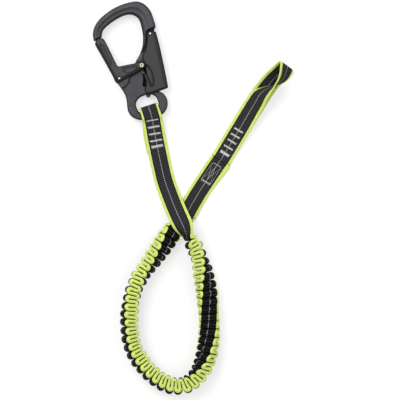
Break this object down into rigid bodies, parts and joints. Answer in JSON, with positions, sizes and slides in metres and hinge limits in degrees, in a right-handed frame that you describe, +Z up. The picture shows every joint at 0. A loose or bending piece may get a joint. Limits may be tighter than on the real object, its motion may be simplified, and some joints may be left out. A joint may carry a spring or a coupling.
{
  "type": "elastic webbing safety tether",
  "caption": "Double-action snap hook on a strap of webbing gathered over elastic, ending in a sewn webbing loop.",
  "frame": {"origin": "middle of the hook's outline on the surface that the tether lies on", "axes": "+X to the right and +Y to the top of the picture, along the hook from eye to crown; +Z up, out of the surface"},
  "size_m": [0.2405, 0.4711, 0.0293],
  "materials": {
    "anodised": "dark grey anodised, satin",
    "lever_anodised": "dark grey anodised, satin",
    "steel": "bright pin ends",
    "brass": "pale plated rivet",
    "spring": "drawn wire",
    "webbing": "black polyamide webbing with yellow-green edges",
    "gathers": "gathered tubular webbing, yellow-green and black",
    "elastic": "flat woven elastic"
  },
  "bodies": {
    "tether": {"hook_strap": "webbing", "gathered_webbing": "gathers", "elastic_core": "elastic", "loop_strap": "webbing"},
    "hook": {"hook_frame": "anodised", "gate_pin": "steel", "lever_pin": "steel", "gate_spring": "spring", "lever_spring": "spring"},
    "gate": {"gate_lever": "anodised", "lock_rivet": "brass", "lock_bush": "steel"},
    "palm": {"palm_lever": "lever_anodised"}
  },
  "joints": [
    {"name": "hook_tilt", "type": "hinge", "parent": "tether", "child": "hook", "pos_m": [0.02463, -0.06445, 0.0075], "axis": [0.9397, 0.342, 0], "range_deg": [0, 60], "deforming": ["hook_strap"]},
    {"name": "gate_swing", "type": "hinge", "parent": "hook", "child": "gate", "pos_m": [-0.01323, -0.02124, 0.0075], "axis": [0, 0, -1], "range_deg": [0, 44], "stiffness_Nm_per_rad": 0.06, "springref_deg": -20.05, "deforming": ["gate_spring"]},
    {"name": "palm_squeeze", "type": "hinge", "parent": "hook", "child": "palm", "pos_m": [0.02361, 0.0325, 0.0075], "axis": [0, 0, -1], "range_deg": [0, 8.5], "stiffness_Nm_per_rad": 0.3, "springref_deg": -4.58, "deforming": ["lever_spring"]}
  ],
  "couplings": [
    {"joint": "palm_squeeze", "follows": "gate_swing", "ratio": 0.19318}
  ]
}
